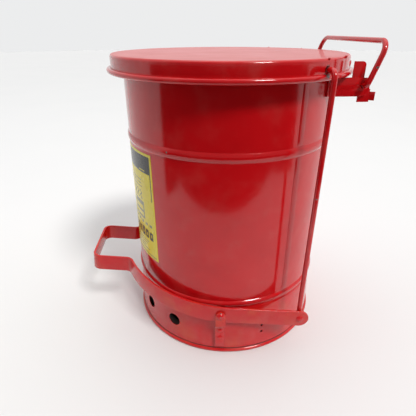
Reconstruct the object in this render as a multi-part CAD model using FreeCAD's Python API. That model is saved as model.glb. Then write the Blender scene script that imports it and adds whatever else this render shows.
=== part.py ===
import FreeCAD, Part
import math
import os

# A foot-operated safety can for oily waste. Millimetres, +Z up, the pedal at -Y, the lid
# hinge at +Y, pivots along X. The origin is on the can's axis, in the plane it stands on.

V = FreeCAD.Vector
DIAGONAL = math.sqrt(0.5)
BEND_MIDDLE = 1 - DIAGONAL     # how far a quarter bend's middle is from its corner, over its radius
X_AXIS = V(1, 0, 0)
Z_AXIS = V(0, 0, 1)
SIDES = {"left": -1, "right": 1}

# Driving dimensions: the can
SHEET = 0.8                # gauge of the body and lid steel
BODY_R = 142.5             # outside of the body wall
LID_TOP_Z = 403.5          # overall height with the lid shut
BODY_TOP_Z = LID_TOP_Z - SHEET - 0.5   # the lid rests just clear of the body's rolled top
TOP_CURL = 3.0             # radius of the roll at the mouth, at the sheet's inner face
RIB_Z = 88.5               # rib that joins the body to the base
RIB_HALF = 4.5
RIB_RISE = 2.4
BODY_FOOT_Z = RIB_Z - 6.5
SWAGE_Z = 300.0            # stiffening bead round the body
SWAGE_HALF = 6.0
SWAGE_RISE = 2.0
SEAM_ANGLES = (119.8, 123.4)   # the body's lock seam, degrees from the front towards +X
SEAM_RISE = 0.7
LAP = 0.05                 # fit between nested sheets
LABEL_Z = (129.0, 290.0)
LABEL_HALF_ANGLE = 42.7

# Driving dimensions: the base
BASE_R = 147.8             # outside of the base's rolled hem
HEM_R = 3.2
HEM_FLAT = 0.25            # worn flat that the hem stands on
BOTTOM_Z = 60.0            # raised bottom, above the vents
BOTTOM_BEND = 4.0
VENT_Z = 39.0
VENT_R = 10.0
VENT_ANGLES = (31.0, 53.5)  # degrees from the front, each side
SPARE_HOLES_Z = (30.0, 42.0)
SPARE_HOLE_R = 2.0
SPARE_ANGLE = 107.3

# Driving dimensions: the lid and its hinge
LID_R = 157.3              # outside of the lid's skirt
LID_DEPTH = 22.4
LID_FOOT_Z = LID_TOP_Z - LID_DEPTH
LID_EDGE_R = 3.5
CURL_R = 3.2               # outside radius of the lid's rolled rim
HINGE_Y = 150.6
HINGE_Z = 371.6
WIRE_R = 3.175             # the bail and the rods are quarter-inch wire
EAR_X = 92.0               # inner face of each hinge ear
EAR_T = 2.5
EAR_FLANGE = 17.0          # degrees of wall that an ear's flange covers
EAR_RIVET_ANGLES = (146.5, 152.5)
LEAF_T = 2.0
LEAF_GAP = 0.15            # between the leaf's plate and the skirt round it
LEAF_RIVET_ANGLES = (8.0, 26.0)    # degrees from the rear, each side
LEAF_RIVET_Z = 393.5
ARM_X = EAR_X - 0.6        # outer face of the leaf's arms
LIP_TURN = 35.0            # degrees the lips at the arms' feet turn outwards
BAIL_X = 104.0
BAIL_LENGTH = 50.0
BAIL_LEAN = 18.5           # degrees back from upright

# Driving dimensions: the pedal and its rods
STRAP_T = 3.2
STRAP_H = 25.4
PEDAL_Y = -19.5
PEDAL_Z = 78.5
PEDAL_SLOPE = 6.3          # degrees the pedal rises towards the foot
STRAP_X = 153.6            # outer face of the strap's straight arms
WRAP_R = 165.0             # outer face of the stretch that goes round the can
WRAP_S = -16.0             # where that stretch starts, forward of the pivot
FLARE_R = 12.0
CORNER_R = 12.0
FOOT_S = 196.9             # pivot to the outer face of the foot bar
FOOT_X = 49.0              # outer face of the foot loop's arms
ROD_S = 112.0              # pivot to the rod pins, rearwards
ROD_TOP_Y = 94.7
ROD_TOP_Z = 392.0
HOOK_X = 119.0             # end of a rod's hook, inside the lid
PIN_R = 3.2
BRACKET_X = 144.6          # back of a bracket's foot, against the base wall
BRACKET_T = 2.5
BRACKET_W = 14.0
BRACKET_RIVETS_Z = (30.5, 43.5)
WASHER_X = 147.0           # back of the pivot's washer, clear of the arm's curve
WASHER_T = 1.2
WASHER_R = 7.5

# Rivets and fits
RIVET_R = 2.0
HEAD_R = 3.6
HEAD_H = 1.4
RUN = 0.06                 # radial clearance of a running fit
PRESS = 0.01               # radial clearance of a fit that doesn't turn


def save(name, shape):
    shape.exportStep("parts/" + name + ".step")
    print(name, "valid", shape.isValid(), "solids", len(shape.Solids), "mm3", round(shape.Volume))


def cylinder_x(x0, x1, y, z, radius):
    """A cylinder along X from x0 to x1."""
    low = min(x0, x1)
    return Part.makeCylinder(radius, abs(x1 - x0), V(low, y, z), X_AXIS)


def box(x0, x1, y0, y1, z0, z1):
    """A box between two corners given in any order."""
    low = V(min(x0, x1), min(y0, y1), min(z0, z1))
    return Part.makeBox(abs(x1 - x0), abs(y1 - y0), abs(z1 - z0), low)


def join(shapes):
    """One shape out of touching solids, with no seams left between them."""
    whole = shapes[0].multiFuse(shapes[1:])
    return whole.removeSplitter()


def on_wall(radius, angle, z):
    """A point on the can's wall, at an angle from the front towards +X."""
    turn = math.radians(angle)
    return V(radius * math.sin(turn), -radius * math.cos(turn), z)


def revolve(face):
    """Turns a face in the XZ plane into a ring round the can's axis."""
    return face.revolve(V(0, 0, 0), Z_AXIS, 360)


def section(path, thickness):
    """A sheet's section along a line of (r, z) points and ("arc", middle, end) steps.

    The line is one face, and the sheet lies on its left, or on its right if thickness is minus.
    """
    here = path[0]
    outer = []
    for step in path[1:]:
        start = V(here[0], 0, here[1])
        if step[0] == "arc":
            middle, here = step[1], step[2]
            outer.append(Part.Arc(start, V(middle[0], 0, middle[1]), V(here[0], 0, here[1])).toShape())
        else:
            here = step
            outer.append(Part.LineSegment(start, V(here[0], 0, here[1])).toShape())
    wire = Part.Wire(outer)
    return wire.makeOffset2D(thickness, 0, True, True)


def bend_path(points, radii):
    """A wire through points in one plane, each inner corner rounded to its radius."""
    edges = []
    here = points[0]
    for index in range(1, len(points) - 1):
        corner = points[index]
        back = (points[index - 1] - corner).normalize()
        ahead = (points[index + 1] - corner).normalize()
        half = back.getAngle(ahead) / 2
        reach = radii[index - 1] / math.tan(half)
        first = corner + back * reach
        last = corner + ahead * reach
        inward = (back + ahead).normalize()
        centre = corner + inward * (radii[index - 1] / math.sin(half))
        middle = centre - inward * radii[index - 1]
        edges.append(Part.LineSegment(here, first).toShape())
        edges.append(Part.Arc(first, middle, last).toShape())
        here = last
    edges.append(Part.LineSegment(here, points[-1]).toShape())
    return Part.Wire(edges)


def round_bar(path, radius):
    """A round wire along a path."""
    start = path.Edges[0]
    ring = Part.Circle(start.valueAt(start.FirstParameter), start.tangentAt(start.FirstParameter), radius)
    return path.makePipe(Part.Face(Part.Wire(ring.toShape())))


def sector(radius_out, radius_in, z0, z1, from_angle, to_angle):
    """A curved plate that follows the can between two angles from the front."""
    outer = Part.makeCylinder(radius_out, z1 - z0, V(0, 0, z0), Z_AXIS, to_angle - from_angle)
    inner = Part.makeCylinder(radius_in, z1 - z0 + 2, V(0, 0, z0 - 1))
    plate = outer.cut(inner)
    plate.rotate(V(0, 0, 0), Z_AXIS, from_angle - 90)
    return plate


def rivet(foot, outward, shank_r, shank, head_r, head_h):
    """A rivet whose shank starts at foot and whose domed head sits at the shank's end."""
    dome_r = (head_r ** 2 + head_h ** 2) / (2 * head_h)
    half = math.asin(head_r / dome_r) / 2
    drop = shank + head_h - dome_r
    outline = [
        Part.makePolygon([V(0, 0, shank + head_h), V(0, 0, 0), V(shank_r, 0, 0), V(shank_r, 0, shank)]),
        Part.makePolygon([V(shank_r, 0, shank), V(head_r, 0, shank)]),
        Part.Arc(
            V(head_r, 0, shank),
            V(dome_r * math.sin(half), 0, drop + dome_r * math.cos(half)),
            V(0, 0, shank + head_h),
        ).toShape(),
    ]
    body = revolve(Part.Face(Part.Wire(outline)))
    body.Placement = FreeCAD.Placement(foot, FreeCAD.Rotation(Z_AXIS, outward))
    return body


# The can

def body_shell():
    curl_z = BODY_TOP_Z - TOP_CURL - SHEET
    curl_x = BODY_R + TOP_CURL
    far_x = BODY_R + 2 * TOP_CURL
    path = [
        (BODY_R, BODY_FOOT_Z),
        (BODY_R, RIB_Z - RIB_HALF),
        ("arc", (BODY_R + RIB_RISE, RIB_Z), (BODY_R, RIB_Z + RIB_HALF)),
        (BODY_R, SWAGE_Z - SWAGE_HALF),
        ("arc", (BODY_R + SWAGE_RISE, SWAGE_Z), (BODY_R, SWAGE_Z + SWAGE_HALF)),
        (BODY_R, curl_z),
        ("arc", (curl_x, curl_z + TOP_CURL), (far_x, curl_z)),
        ("arc", (curl_x + TOP_CURL * DIAGONAL, curl_z - TOP_CURL * DIAGONAL), (curl_x, curl_z - TOP_CURL)),
    ]
    wall = revolve(section(path, SHEET))
    rise = BODY_R + SEAM_RISE
    root = BODY_R - 0.1
    seam = sector(rise, root, RIB_Z + 6, SWAGE_Z - 7, SEAM_ANGLES[0], SEAM_ANGLES[1])
    upper_seam = sector(rise, root, SWAGE_Z + 7, curl_z - 6, SEAM_ANGLES[0], SEAM_ANGLES[1])
    return join([wall, seam, upper_seam])


def base_ring():
    top_r = BODY_R - SHEET - LAP
    hem_z = HEM_R - HEM_FLAT
    hem_x = BASE_R - HEM_R
    path = [
        (top_r, RIB_Z + 8),
        (top_r, BODY_FOOT_Z - 0.6),
        (BODY_R + 0.6, BODY_FOOT_Z - 3.6),
        (hem_x + 0.6, hem_z),
    ]
    ring = revolve(section(path, -SHEET))
    hem = Part.makeTorus(hem_x, HEM_R, V(0, 0, hem_z))
    ring = join([ring, hem]).cut(box(-200, 200, -200, 200, -10, 0))
    for side in SIDES.values():
        for angle in VENT_ANGLES:
            out = on_wall(1, side * angle, 0)
            ring = ring.cut(Part.makeCylinder(VENT_R, 40, on_wall(125, side * angle, VENT_Z), out))
        for z in SPARE_HOLES_Z:
            out = on_wall(1, side * SPARE_ANGLE, 0)
            ring = ring.cut(Part.makeCylinder(SPARE_HOLE_R, 40, on_wall(125, side * SPARE_ANGLE, z), out))
        for z in BRACKET_RIVETS_Z:
            ring = ring.cut(cylinder_x(side * 125, side * 165, PEDAL_Y, z, RIVET_R + PRESS))
    return ring


def bottom_plate():
    """The raised bottom, a pan with its flange turned down inside the base."""
    rim = BODY_R - 2 * SHEET - 3 * LAP
    part_way = BOTTOM_BEND * BEND_MIDDLE
    path = [
        (rim, BOTTOM_Z - 10.0),
        (rim, BOTTOM_Z - BOTTOM_BEND),
        ("arc", (rim - part_way, BOTTOM_Z - part_way), (rim - BOTTOM_BEND, BOTTOM_Z)),
        (rim - 22.0, BOTTOM_Z),
        (30.0, BOTTOM_Z + 2.5),
        (0.0, BOTTOM_Z + 2.5),
    ]
    return revolve(section(path, SHEET))


def front_label():
    low, high = LABEL_Z
    return sector(BODY_R + 0.32, BODY_R + 0.02, low, high, -LABEL_HALF_ANGLE, LABEL_HALF_ANGLE)


# The lid and its hinge

def lid_pan():
    inner = CURL_R - SHEET
    curl_x = LID_R + inner
    curl_z = LID_FOOT_Z + CURL_R
    part_way = LID_EDGE_R * BEND_MIDDLE
    path = [
        (0.0, LID_TOP_Z),
        (LID_R - LID_EDGE_R, LID_TOP_Z),
        ("arc", (LID_R - part_way, LID_TOP_Z - part_way), (LID_R, LID_TOP_Z - LID_EDGE_R)),
        (LID_R, curl_z),
        ("arc", (curl_x, curl_z - inner), (curl_x + inner, curl_z)),
        ("arc", (curl_x + inner * DIAGONAL, curl_z + inner * DIAGONAL), (curl_x, curl_z + inner)),
    ]
    pan = revolve(section(path, -SHEET))
    for side in SIDES.values():
        pan = pan.cut(cylinder_x(side * 100, side * 140, ROD_TOP_Y, ROD_TOP_Z, WIRE_R + RUN))
    return drill_leaf_rivets(pan)


def drill_leaf_rivets(shape):
    """Drills the four holes for the rivets that hold the leaf in the lid's skirt."""
    for side in SIDES.values():
        for angle in LEAF_RIVET_ANGLES:
            turn = 180 + side * angle
            hole = Part.makeCylinder(RIVET_R + PRESS, 30, on_wall(140, turn, LEAF_RIVET_Z), on_wall(1, turn, 0))
            shape = shape.cut(hole)
    return shape


def lid_hinge_leaf():
    """A plate inside the lid's skirt, with an arm at each end for the hinge wire."""
    outer = LID_R - SHEET - LEAF_GAP
    inner = outer - LEAF_T
    half = math.degrees(math.asin((ARM_X - 0.5) / outer))
    plate = sector(outer, inner, HINGE_Z - 6, LID_TOP_Z - 6, 180 - half, 180 + half)
    pieces = [plate]
    root_y = math.sqrt(inner ** 2 - ARM_X ** 2) + 0.6
    for side in SIDES.values():
        x0 = side * ARM_X
        x1 = side * (ARM_X - LEAF_T)
        pieces.append(box(x0, x1, root_y, HINGE_Y + 8, HINGE_Z - 11, LID_FOOT_Z - 1.6))
        stop = box(x0, x1, HINGE_Y - 13, HINGE_Y + 1, HINGE_Z, LID_TOP_Z - 6)
        corner = [e for e in stop.Edges if is_corner(e, HINGE_Y + 1, LID_TOP_Z - 6)]
        pieces.append(stop.makeFillet(4.5, corner))
        pieces.append(box(x0, x1, HINGE_Y - 3, HINGE_Y + 11, HINGE_Z - 20, HINGE_Z - 5))
        pieces.append(turned_lip(side))
    leaf = join(pieces).cut(cylinder_x(-120, 120, HINGE_Y, HINGE_Z, WIRE_R + RUN))
    return drill_leaf_rivets(leaf)


def is_corner(edge, y, z):
    """True for the edge along X at one corner of a plate."""
    ends = [v.Point for v in edge.Vertexes]
    return all(abs(p.y - y) < 0.01 and abs(p.z - z) < 0.01 for p in ends)


def turned_lip(side):
    """The outward-turned lip at the foot of an arm."""
    lip = box(side * ARM_X, side * (ARM_X - LEAF_T), HINGE_Y + 10, HINGE_Y + 17, HINGE_Z - 18, HINGE_Z - 8)
    lip.rotate(V(side * ARM_X, HINGE_Y + 11, 0), Z_AXIS, -side * LIP_TURN)
    return lip


def hinge_ear(side):
    """A bracket on the body: a flange that follows the wall, and an ear for the hinge wire."""
    low = HINGE_Z - 13
    high = HINGE_Z + 8.4
    rear = HINGE_Y + 8
    root_y = math.sqrt(BODY_R ** 2 - EAR_X ** 2)
    ear = box(side * EAR_X, side * (EAR_X + EAR_T), root_y, rear, low, high)
    ear = ear.makeFillet(10.0, [e for e in ear.Edges if is_corner(e, rear, low)])
    ear = ear.makeFillet(8.0, [e for e in ear.Edges if is_corner(e, rear, high)])
    start = 180 - math.degrees(math.asin((EAR_X + EAR_T) / BODY_R))
    back = BODY_R + 0.02
    flange = sector(BODY_R + EAR_T, back, low, high, start, start + EAR_FLANGE)
    if side < 0:
        flange = flange.mirror(V(0, 0, 0), X_AXIS)
    bracket = join([ear.cut(Part.makeCylinder(back, 60, V(0, 0, low - 10))), flange])
    for angle in EAR_RIVET_ANGLES:
        out = on_wall(1, side * angle, 0)
        hole = Part.makeCylinder(RIVET_R + PRESS, 30, on_wall(130, side * angle, HINGE_Z - 2), out)
        bracket = bracket.cut(hole)
    return bracket.cut(cylinder_x(side * 60, side * 120, HINGE_Y, HINGE_Z, WIRE_R + RUN))


def bail_handle():
    """The carrying handle, whose ends turn in through the ears and the lid's leaf."""
    lean = math.radians(BAIL_LEAN)
    top_y = HINGE_Y + BAIL_LENGTH * math.sin(lean)
    top_z = HINGE_Z + BAIL_LENGTH * math.cos(lean)
    end_x = ARM_X - LEAF_T - 3
    points = [
        V(-end_x, HINGE_Y, HINGE_Z),
        V(-BAIL_X, HINGE_Y, HINGE_Z),
        V(-BAIL_X, top_y, top_z),
        V(BAIL_X, top_y, top_z),
        V(BAIL_X, HINGE_Y, HINGE_Z),
        V(end_x, HINGE_Y, HINGE_Z),
    ]
    return round_bar(bend_path(points, (5.0, 15.0, 15.0, 5.0)), WIRE_R)


# The pedal: its plan is drawn with s forward from the pivot and x to the side


def plan(x, s):
    """A point of the pedal's middle plane before it is sloped."""
    return V(x, PEDAL_Y - s, PEDAL_Z)


def slope(shape):
    """Tips the pedal about its pivot, so that the foot end is higher."""
    shape.rotate(V(0, PEDAL_Y, PEDAL_Z), X_AXIS, -PEDAL_SLOPE)
    return shape


def pedal_yoke():
    """One flat bar on edge: a foot loop, two curved stretches and two straight arms."""
    half_t = STRAP_T / 2
    arm_x = STRAP_X - half_t
    wrap_r = WRAP_R - half_t
    foot_x = FOOT_X - half_t
    foot_s = FOOT_S - half_t
    wrap_x = arm_x - wrap_r
    # The flare arc is tangent to the wrap (outside it) and to the foot loop's arm.
    flare_x = foot_x + FLARE_R
    reach = wrap_r + FLARE_R
    flare_s = WRAP_S + math.sqrt(reach ** 2 - (flare_x - wrap_x) ** 2)
    turn = math.atan2(flare_s - WRAP_S, flare_x - wrap_x)
    meet_x = wrap_x + wrap_r * math.cos(turn)
    meet_s = WRAP_S + wrap_r * math.sin(turn)
    half_turn = turn / 2
    flare_mid = (math.pi + turn + math.pi) / 2
    corner_mid = math.pi / 4
    edges = []
    for side in SIDES.values():
        line = [
            plan(side * arm_x, -ROD_S),
            plan(side * arm_x, WRAP_S),
            plan(side * (wrap_x + wrap_r * math.cos(half_turn)), WRAP_S + wrap_r * math.sin(half_turn)),
            plan(side * meet_x, meet_s),
            plan(side * (flare_x + FLARE_R * math.cos(flare_mid)), flare_s + FLARE_R * math.sin(flare_mid)),
            plan(side * foot_x, flare_s),
            plan(side * foot_x, foot_s - CORNER_R),
            plan(side * (foot_x - CORNER_R * (1 - math.cos(corner_mid))),
                 foot_s - CORNER_R * (1 - math.sin(corner_mid))),
            plan(side * (foot_x - CORNER_R), foot_s),
        ]
        half = [
            Part.LineSegment(line[0], line[1]).toShape(),
            Part.Arc(line[1], line[2], line[3]).toShape(),
            Part.Arc(line[3], line[4], line[5]).toShape(),
            Part.LineSegment(line[5], line[6]).toShape(),
            Part.Arc(line[6], line[7], line[8]).toShape(),
        ]
        edges.append(half)
    bar = Part.LineSegment(plan(-(foot_x - CORNER_R), foot_s), plan(foot_x - CORNER_R, foot_s)).toShape()
    path = Part.Wire(edges[0] + [bar] + list(reversed(edges[1])))
    strip = strip_section(arm_x, half_t)
    yoke = path.makePipeShell([strip], True, False)
    pieces = [yoke]
    for side in SIDES.values():
        x0 = side * (STRAP_X - STRAP_T)
        pieces.append(cylinder_x(x0, side * STRAP_X, PEDAL_Y + ROD_S, PEDAL_Z, STRAP_H / 2))
    yoke = join(pieces)
    for side in SIDES.values():
        yoke = yoke.cut(cylinder_x(side * 140, side * 165, PEDAL_Y, PEDAL_Z, PIN_R + RUN))
        yoke = yoke.cut(cylinder_x(side * 140, side * 165, PEDAL_Y + ROD_S, PEDAL_Z, PIN_R + PRESS))
    return slope(yoke)


def strip_section(arm_x, half_t):
    """The bar's upright section at the rear end of the left arm."""
    y = PEDAL_Y + ROD_S
    low = PEDAL_Z - STRAP_H / 2
    high = PEDAL_Z + STRAP_H / 2
    corners = [
        V(-arm_x - half_t, y, low),
        V(-arm_x + half_t, y, low),
        V(-arm_x + half_t, y, high),
        V(-arm_x - half_t, y, high),
        V(-arm_x - half_t, y, low),
    ]
    return Part.makePolygon(corners)


def pivot_bracket(side):
    """A strap riveted to the base, stepped out to pass over the pedal's arm."""
    foot_x = BRACKET_X
    face_x = STRAP_X + 0.5
    points = [
        V(foot_x + BRACKET_T / 2, PEDAL_Y, 13.0),
        V(foot_x + BRACKET_T / 2, PEDAL_Y, 51.0),
        V(face_x + BRACKET_T / 2, PEDAL_Y, 60.5),
        V(face_x + BRACKET_T / 2, PEDAL_Y, PEDAL_Z),
    ]
    path = bend_path(points, (4.0, 4.0))
    start = points[0]
    half = V(BRACKET_T / 2, 0, 0)
    wide = V(0, BRACKET_W / 2, 0)
    corners = [start - half - wide, start + half - wide, start + half + wide, start - half + wide]
    bar = path.makePipeShell([Part.makePolygon(corners + [corners[0]])], True, False)
    cap = cylinder_x(face_x, face_x + BRACKET_T, PEDAL_Y, PEDAL_Z, BRACKET_W / 2)
    bracket = join([bar, cap])
    bracket = bracket.cut(cylinder_x(140, 170, PEDAL_Y, PEDAL_Z, PIN_R + PRESS))
    for z in BRACKET_RIVETS_Z:
        bracket = bracket.cut(cylinder_x(140, 170, PEDAL_Y, z, RIVET_R + PRESS))
    if side < 0:
        bracket = bracket.mirror(V(0, 0, 0), X_AXIS)
    return bracket


def link_rod(side):
    """A rod whose top hooks into the lid's skirt; it stands just inside the pedal's arm."""
    x = STRAP_X - STRAP_T - 0.6 - WIRE_R
    foot = rod_pin_centre()
    run_down = V(0, foot.y - ROD_TOP_Y, foot.z - ROD_TOP_Z).normalize()
    points = [
        V(side * HOOK_X, ROD_TOP_Y, ROD_TOP_Z),
        V(side * x, ROD_TOP_Y, ROD_TOP_Z),
        V(side * x, foot.y + run_down.y * 7, foot.z + run_down.z * 7),
    ]
    return round_bar(bend_path(points, (8.0,)), WIRE_R)


def rod_pin_centre():
    """Where the rod pins stand with the pedal at rest."""
    tip = math.radians(PEDAL_SLOPE)
    return V(0, PEDAL_Y + ROD_S * math.cos(tip), PEDAL_Z - ROD_S * math.sin(tip))


def pivot_rivet(side):
    """The pedal's pivot, headed outside the bracket and upset over its washer inside."""
    outer_x = STRAP_X + 0.5 + BRACKET_T
    out = V(side, 0, 0)
    pin = rivet(V(side * WASHER_X, PEDAL_Y, PEDAL_Z), out, PIN_R, outer_x - WASHER_X, 5.4, 2.4)
    upset = cylinder_x(side * (WASHER_X - 1.4), side * WASHER_X, PEDAL_Y, PEDAL_Z, 4.8)
    return join([pin, upset])


def pivot_washer(side):
    ring = cylinder_x(side * WASHER_X, side * (WASHER_X + WASHER_T), PEDAL_Y, PEDAL_Z, WASHER_R)
    return ring.cut(cylinder_x(side * 140, side * 160, PEDAL_Y, PEDAL_Z, PIN_R + PRESS))


def rod_pin(side):
    """The pin that carries a rod, headed outside the pedal's arm."""
    centre = rod_pin_centre()
    foot = V(side * (STRAP_X - STRAP_T + 0.1), centre.y, centre.z)
    return rivet(foot, V(side, 0, 0), PIN_R, STRAP_T - 0.1, 4.8, 2.2)


def bracket_rivets(side):
    start = BRACKET_X - SHEET - 2.4
    reach = BRACKET_X + BRACKET_T - start
    heads = []
    for z in BRACKET_RIVETS_Z:
        heads.append(rivet(V(side * start, PEDAL_Y, z), V(side, 0, 0), RIVET_R, reach, HEAD_R, HEAD_H))
    return Part.makeCompound(heads)


def ear_rivets(side):
    heads = []
    for angle in EAR_RIVET_ANGLES:
        out = on_wall(1, side * angle, 0)
        foot = on_wall(BODY_R + 0.04, side * angle, HINGE_Z - 2)
        heads.append(rivet(foot, out, RIVET_R, EAR_T, HEAD_R, HEAD_H))
    return Part.makeCompound(heads)


def leaf_rivets():
    heads = []
    for side in SIDES.values():
        for angle in LEAF_RIVET_ANGLES:
            out = on_wall(1, 180 + side * angle, 0)
            start = on_wall(LID_R - SHEET - LEAF_T - LEAF_GAP, 180 + side * angle, LEAF_RIVET_Z)
            heads.append(rivet(start, out, RIVET_R, LEAF_T + SHEET + LEAF_GAP + 0.1, HEAD_R, HEAD_H))
    return Part.makeCompound(heads)


os.makedirs("parts", exist_ok=True)
save("body_shell", body_shell())
save("base_ring", base_ring())
save("bottom_plate", bottom_plate())
save("front_label", front_label())
save("lid_pan", lid_pan())
save("lid_hinge_leaf", lid_hinge_leaf())
save("leaf_rivets", leaf_rivets())
save("bail_handle", bail_handle())
save("pedal_yoke", pedal_yoke())
for name, side in SIDES.items():
    save(name + "_hinge_ear", hinge_ear(side))
    save(name + "_ear_rivets", ear_rivets(side))
    save(name + "_pivot_bracket", pivot_bracket(side))
    save(name + "_bracket_rivets", bracket_rivets(side))
    save(name + "_pivot_rivet", pivot_rivet(side))
    save(name + "_pivot_washer", pivot_washer(side))
    save(name + "_rod_pin", rod_pin(side))
    save(name + "_link_rod", link_rod(side))
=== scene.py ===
import math

import bmesh
import bpy
from mathutils import Matrix, Vector


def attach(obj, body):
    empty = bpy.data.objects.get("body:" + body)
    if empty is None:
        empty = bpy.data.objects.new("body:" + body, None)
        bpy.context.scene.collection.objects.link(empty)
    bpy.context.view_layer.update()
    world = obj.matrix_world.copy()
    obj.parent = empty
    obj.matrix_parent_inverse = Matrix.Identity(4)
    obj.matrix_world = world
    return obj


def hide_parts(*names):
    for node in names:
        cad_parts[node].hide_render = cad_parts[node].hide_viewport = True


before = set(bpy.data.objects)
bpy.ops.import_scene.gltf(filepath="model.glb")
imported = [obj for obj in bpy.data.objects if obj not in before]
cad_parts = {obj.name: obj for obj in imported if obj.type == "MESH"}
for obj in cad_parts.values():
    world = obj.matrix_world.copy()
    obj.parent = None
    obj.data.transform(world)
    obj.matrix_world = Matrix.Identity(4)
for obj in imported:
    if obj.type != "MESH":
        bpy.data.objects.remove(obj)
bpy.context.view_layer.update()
scene = bpy.context.scene
mm = 0.001  # sizes below are in millimetres, +Z up, pedal towards -Y, camera side +X
print("frame loaded:", len(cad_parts), "nodes")


class Wire:  # a node's output that can be used in sums
    def __init__(self, tree, socket):
        self.tree = tree
        self.socket = socket

    def __add__(self, other):
        return self.tree.maths("ADD", self, other)

    __radd__ = __add__

    def __sub__(self, other):
        return self.tree.maths("SUBTRACT", self, other)

    def __rsub__(self, other):
        return self.tree.maths("SUBTRACT", other, self)

    def __mul__(self, other):
        return self.tree.maths("MULTIPLY", self, other)

    __rmul__ = __mul__

    def __truediv__(self, other):
        return self.tree.maths("DIVIDE", self, other)

    def __rtruediv__(self, other):
        return self.tree.maths("DIVIDE", other, self)

    def __gt__(self, other):
        return self.tree.maths("GREATER_THAN", self, other)

    def __lt__(self, other):
        return self.tree.maths("LESS_THAN", self, other)

    def twin(self, name):  # another output of the same node
        return Wire(self.tree, self.socket.node.outputs[name])


class Tree:  # adds nodes to a node tree
    def __init__(self, nodeTree):
        self.nodeTree = nodeTree

    def node(self, kind, settings=None, inputs=None, out=0):
        made = self.nodeTree.nodes.new(kind)
        for name, value in (settings or {}).items():
            setattr(made, name, value)
        for name, value in (inputs or {}).items():
            if isinstance(value, Wire):
                self.nodeTree.links.new(value.socket, made.inputs[name])
            else:
                made.inputs[name].default_value = value
        if not made.outputs:
            return made
        return Wire(self, made.outputs[out])

    def maths(self, operation, first, second=0.0):
        return self.node("ShaderNodeMath", {"operation": operation}, {0: first, 1: second})

    def limited(self, value):  # kept between 0 and 1
        return self.node("ShaderNodeMath", {"operation": "ADD", "use_clamp": True}, {0: value, 1: 0.0})

    def most(self, first, second):
        return self.maths("MAXIMUM", first, second)

    def step(self, value, low, high):  # 0 below low, 1 above high, smooth between
        return self.node("ShaderNodeMapRange", {"interpolation_type": "SMOOTHSTEP"},
                         {"Value": value, "From Min": low, "From Max": high})


class Finish(Tree):  # a material in the making
    def __init__(self, name):
        self.material = bpy.data.materials.new(name)
        self.material.use_nodes = True
        super().__init__(self.material.node_tree)
        self.nodeTree.nodes.clear()
        self.place = self.node("ShaderNodeTexCoord", out="Object")

    def level(self):  # height above the floor
        return self.node("ShaderNodeSeparateXYZ", {}, {0: self.place}, "Z")

    def noise(self, size, detail=2.0, seed=0.0, stretch=(1, 1, 1), roughness=0.5):  # size in mm
        where = self.place
        if stretch != (1, 1, 1):
            where = self.node("ShaderNodeMapping", {"vector_type": "POINT"},
                              {"Vector": self.place, "Scale": stretch})
        return self.node("ShaderNodeTexNoise", {"noise_dimensions": "4D"},
                         {"Vector": where, "W": seed, "Scale": 1 / (size * mm),
                          "Detail": detail, "Roughness": roughness})

    def near(self, point, radius, ragged=0.35, seed=3.0):  # a ragged patch round a point, in mm
        gap = self.node("ShaderNodeVectorMath", {"operation": "DISTANCE"},
                        {0: self.place, 1: tuple(x * mm for x in point)}, "Value")
        edge = self.noise(radius * 0.7, 3.0, seed) - 0.5
        reach = gap / (radius * mm) + edge * (ragged * 3)
        return 1 - self.step(reach, 0.85, 1.0)

    def blend(self, amount, first, second):
        return self.node("ShaderNodeMix", {"data_type": "RGBA"}, {0: amount, 6: first, 7: second}, 2)

    def bump(self, height, distance):  # distance in mm
        return self.node("ShaderNodeBump", {}, {"Strength": 1.0, "Distance": distance * mm, "Height": height})

    def close(self, colour, roughness, normal, fixed, metallic=None):
        links = {"Base Color": colour, "Roughness": roughness, "Normal": normal}
        if metallic is not None:
            links["Metallic"] = metallic
        links.update(fixed)
        shader = self.node("ShaderNodeBsdfPrincipled", {}, links)
        self.node("ShaderNodeOutputMaterial", {}, {"Surface": shader})
        return self.material


paintColours = {
    "red": (0.600, 0.0052, 0.0084, 1),
    "deepRed": (0.540, 0.0044, 0.0072, 1),
    "worn": (0.560, 0.060, 0.055, 1),
    "dust": (0.620, 0.330, 0.270, 1),
    "steel": (0.300, 0.280, 0.260, 1),
    "primer": (0.085, 0.060, 0.055, 1),
    "foldShadeColour": (0.060, 0.018, 0.014, 1),
    "orange": (0.62, 0.10, 0.02, 1),
    "inside": (0.33, 0.010, 0.012, 1),
    "insideDeep": (0.22, 0.010, 0.010, 1),
    "oil": (0.045, 0.014, 0.010, 1),
    "drip": (0.10, 0.016, 0.012, 1),
}
paintCoat = {"Coat Weight": 0.25, "Coat Roughness": 0.05, "Coat IOR": 1.5, "IOR": 1.46}
steelColours = {"clean": (0.46, 0.44, 0.41, 1), "stained": (0.16, 0.10, 0.06, 1)}
vinylCoat = {"IOR": 1.42, "Coat Weight": 0.1, "Coat Roughness": 0.08}
vinylDirt = (0.30, 0.24, 0.14, 1)
inkColours = {  # each ink fresh and faded, and its seed
    "yellow": ((0.850, 0.690, 0.035, 1), (0.800, 0.650, 0.060, 1), 41.0),
    "black": ((0.020, 0.020, 0.018, 1), (0.060, 0.058, 0.048, 1), 43.0),
    "grey": ((0.215, 0.215, 0.165, 1), (0.280, 0.270, 0.160, 1), 45.0),
}
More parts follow.
